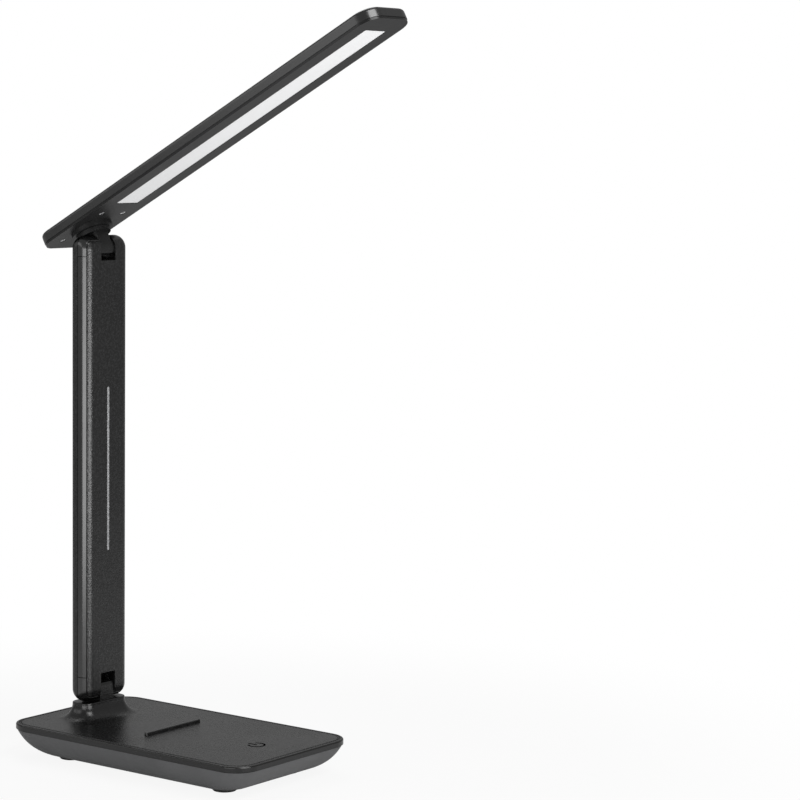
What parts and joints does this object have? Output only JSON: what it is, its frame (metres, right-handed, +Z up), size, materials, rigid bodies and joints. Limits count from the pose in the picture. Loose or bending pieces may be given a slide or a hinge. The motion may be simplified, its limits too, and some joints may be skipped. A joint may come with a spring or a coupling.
{
  "type": "led desk lamp",
  "caption": "Folding desk lamp: flat weighted base with a leather-look cover, an upright arm hinged at its foot and a thin light bar that tilts and swivels on the arm.",
  "frame": {"origin": "on the table under the middle of the whole lamp, at its resting pose", "axes": "+Z up, +X along the base from the arm to the front edge, +Y to the left"},
  "size_m": [0.2668, 0.11, 0.4705],
  "materials": {
    "leather_grain_plastic": "matt charcoal, moulded leather grain",
    "satin_grey_plastic": "satin dark grey",
    "satin_black_plastic": "satin, fine texture",
    "smooth_black_plastic": "semi-gloss black",
    "black_rubber": "matt",
    "silver_steel": "bright",
    "plate_steel": "raw",
    "circuit_board": "solder mask",
    "black_insulator": "matt",
    "friction_nylon": "matt",
    "opal_acrylic": "opal white",
    "clear_acrylic": "clear",
    "white_film": "matt white",
    "led_phosphor": "smooth"
  },
  "bodies": {
    "base": {"base_tray": "satin_grey_plastic", "base_cover": "leather_grain_plastic", "port_panel": "satin_black_plastic", "usb_c_shell": "silver_steel", "usb_c_tongue": "black_insulator", "control_board": "circuit_board", "board_screws": "silver_steel", "touch_pad": "circuit_board", "ballast_plate": "plate_steel", "base_screws": "silver_steel", "foot_front_left": "black_rubber", "foot_front_right": "black_rubber", "foot_rear_left": "black_rubber", "foot_rear_right": "black_rubber"},
    "arm": {"arm_rear_shell": "leather_grain_plastic", "arm_front_frame": "smooth_black_plastic", "arm_front_panel": "leather_grain_plastic", "arm_wire": "black_insulator", "arm_lower_cap": "smooth_black_plastic", "arm_lower_screws": "silver_steel", "lower_hinge_bolt": "silver_steel", "lower_hinge_nut": "silver_steel", "lower_hinge_washers": "friction_nylon", "arm_upper_cap": "smooth_black_plastic", "arm_upper_screws": "silver_steel", "upper_hinge_bolt": "silver_steel", "upper_hinge_nut": "silver_steel", "upper_hinge_washers": "friction_nylon"},
    "knuckle": {"head_knuckle": "satin_black_plastic", "swivel_washer": "silver_steel", "swivel_nut": "silver_steel"},
    "head": {"swivel_collar": "satin_black_plastic", "head_bezel": "satin_black_plastic", "head_top_shell": "satin_black_plastic", "diffuser": "opal_acrylic", "light_guide": "clear_acrylic", "reflector_sheet": "white_film", "led_board": "circuit_board", "led_chips": "led_phosphor", "head_screws": "silver_steel"}
  },
  "joints": [
    {"name": "arm_fold", "type": "hinge", "parent": "base", "child": "arm", "pos_m": [-0.09796, 0, 0.0416], "axis": [0, 1, 0], "range_deg": [0, 86]},
    {"name": "head_tilt", "type": "hinge", "parent": "arm", "child": "knuckle", "pos_m": [-0.09796, 0, 0.3234], "axis": [0, 1, 0], "range_deg": [-31.7, 119.4]},
    {"name": "head_swivel", "type": "hinge", "parent": "knuckle", "child": "head", "pos_m": [-0.09796, 0, 0.3234], "axis": [-0.4741, 0, 0.8805], "range_deg": [-90, 90]}
  ]
}
